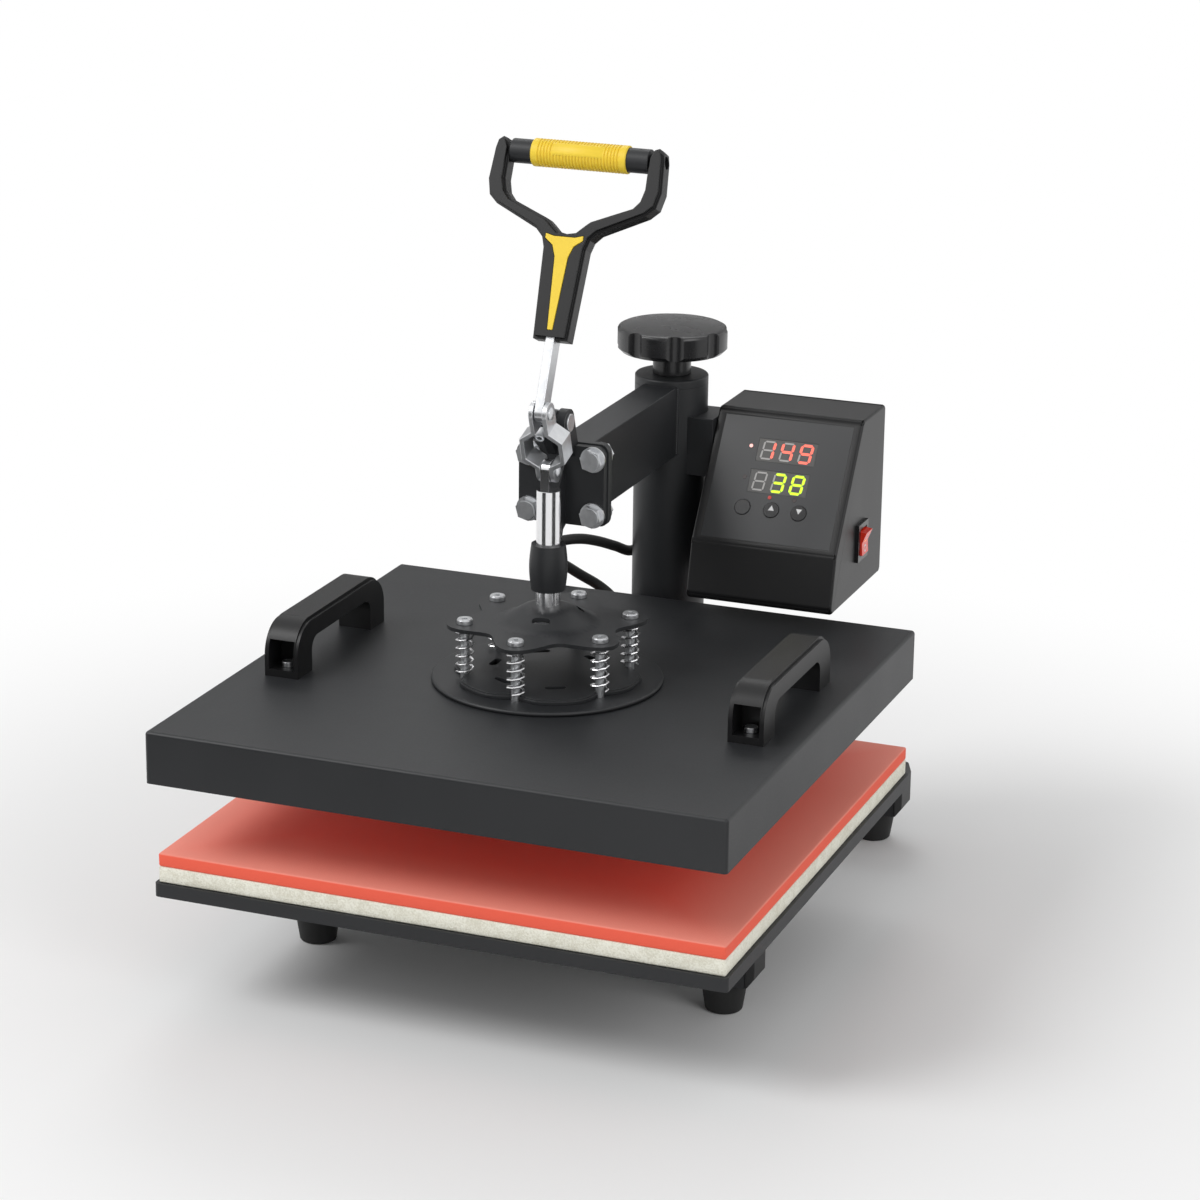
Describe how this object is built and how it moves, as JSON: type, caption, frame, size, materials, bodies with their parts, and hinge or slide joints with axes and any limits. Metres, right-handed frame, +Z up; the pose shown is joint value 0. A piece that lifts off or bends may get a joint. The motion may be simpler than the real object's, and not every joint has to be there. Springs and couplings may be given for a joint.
{
  "type": "heat press",
  "caption": "Swing-away heat press: a fork handle works a toggle that presses a sprung square heating platen onto a padded plate, with a control box on the swinging column.",
  "frame": {"origin": "on the floor under the middle of the footprint", "axes": "+Z up, the open front of the press towards -Y, the control box on the +X side of the column"},
  "size_m": [0.391, 0.49, 0.5399],
  "materials": {
    "black_paint": "satin black powder coat",
    "black_plastic": "fine textured black moulding",
    "gloss_black": "smooth black moulding",
    "rubber": "matt black rubber",
    "zinc": "zinc plated steel",
    "ground_steel": "bright ground steel",
    "spring_steel": "drawn spring wire",
    "aluminium": "machined aluminium",
    "felt": "pressed off-white felt",
    "silicone": "orange-red silicone foam",
    "nylon": "natural nylon",
    "yellow": "yellow moulding",
    "panel": "dark grey overlay",
    "window": "smoked display window",
    "lamp": "red lens",
    "board": "green circuit board",
    "wool": "mineral fibre board",
    "rocker_red": "red translucent moulding"
  },
  "bodies": {
    "base": {"base_beam": "black_paint", "crossbars": "black_paint", "end_plugs": "black_plastic", "rubber_feet": "rubber", "foot_screws": "zinc", "base_post": "black_paint", "post_nut": "zinc", "lower_plate": "black_paint", "plate_channels": "black_paint", "plate_bolts": "zinc", "felt_pad": "felt", "silicone_pad": "silicone"},
    "guide": {"guide_bushes": "nylon"},
    "head": {"sleeve_tube": "black_paint", "sleeve_cap": "black_paint", "swing_arm": "black_paint", "arm_end_plate": "black_paint", "toggle_frame": "black_paint", "flange_bolts": "zinc", "pivot_pin": "zinc", "stop_screw": "zinc", "box_bracket": "black_paint", "box_housing": "black_plastic", "box_back_cover": "black_paint", "panel_plate": "panel", "display_windows": "window", "indicator_lamps": "lamp", "rocker_frame": "gloss_black", "inlet_socket": "gloss_black", "control_board": "board", "box_screws": "zinc", "box_gland": "gloss_black", "heater_cable": "rubber"},
    "knob": {"pressure_knob": "gloss_black", "lift_screw": "zinc"},
    "plunger": {"plunger_rod": "ground_steel", "spider_plate": "black_paint", "rod_nut": "zinc"},
    "handle": {"handle_bar": "zinc", "handle_fork": "black_plastic", "fork_inlay": "yellow", "grip_bar": "black_paint", "grip_sleeve": "yellow"},
    "links": {"link_left": "zinc", "link_right": "zinc", "link_rivets": "zinc"},
    "platen": {"platen_cover": "black_paint", "heat_plate": "aluminium", "insulation": "wool", "mount_disc": "black_paint", "star_plate": "black_paint", "spring_screws": "zinc", "springs": "spring_steel", "carry_handles": "black_plastic", "carry_screws": "zinc", "platen_gland": "gloss_black"},
    "button_set": {"button_set": "gloss_black"},
    "button_up": {"button_up": "gloss_black"},
    "button_down": {"button_down": "gloss_black"},
    "rocker": {"rocker": "rocker_red"}
  },
  "joints": [
    {"name": "head_lift", "type": "slide", "parent": "base", "child": "guide", "axis": [0, 0, 1], "range_m": [-0.008, 0.0065]},
    {"name": "head_swing", "type": "hinge", "parent": "guide", "child": "head", "pos_m": [0, 0.18, 0.25], "axis": [0, 0, 1], "range_deg": [-180, 180]},
    {"name": "knob_spin", "type": "hinge", "parent": "head", "child": "knob", "pos_m": [0, 0.18, 0.35], "axis": [0, 0, 1], "range_deg": [-1441, 1171]},
    {"name": "platen_press", "type": "slide", "parent": "head", "child": "plunger", "axis": [0, 0, -1], "range_m": [0, 0.04007]},
    {"name": "handle_pull", "type": "hinge", "parent": "head", "child": "handle", "pos_m": [0, -0.0385, 0.36385], "axis": [1, 0, 0], "range_deg": [0, 98.75]},
    {"name": "link_swing", "type": "hinge", "parent": "handle", "child": "links", "pos_m": [0, -0.0635, 0.3753], "axis": [1, 0, 0], "range_deg": [-121.95, 0]},
    {"name": "platen_float", "type": "slide", "parent": "plunger", "child": "platen", "axis": [0, 0, 1], "range_m": [0, 0.004], "stiffness_N_per_m": 29000, "springref_m": -0.003, "deforming": ["springs"]},
    {"name": "rocker_flip", "type": "hinge", "parent": "head", "child": "rocker", "pos_m": [0.144, 0.176, 0.24093], "axis": [0, 1, 0], "range_deg": [-18, 0]},
    {"name": "button_set_push", "type": "slide", "parent": "head", "child": "button_set", "axis": [0, 0.8336, -0.5524], "range_m": [0, 0.0008], "stiffness_N_per_m": 900, "springref_m": -0.0006},
    {"name": "button_up_push", "type": "slide", "parent": "head", "child": "button_up", "axis": [0, 0.8336, -0.5524], "range_m": [0, 0.0008], "stiffness_N_per_m": 900, "springref_m": -0.0006},
    {"name": "button_down_push", "type": "slide", "parent": "head", "child": "button_down", "axis": [0, 0.8336, -0.5524], "range_m": [0, 0.0008], "stiffness_N_per_m": 900, "springref_m": -0.0006}
  ],
  "couplings": [
    {"joint": "knob_spin", "follows": "head_lift", "rad_per_m": 3141.6},
    {"joint": "handle_pull", "follows": "platen_press", "rad_per_m": 43.014},
    {"joint": "link_swing", "follows": "platen_press", "rad_per_m": -53.117}
  ]
}
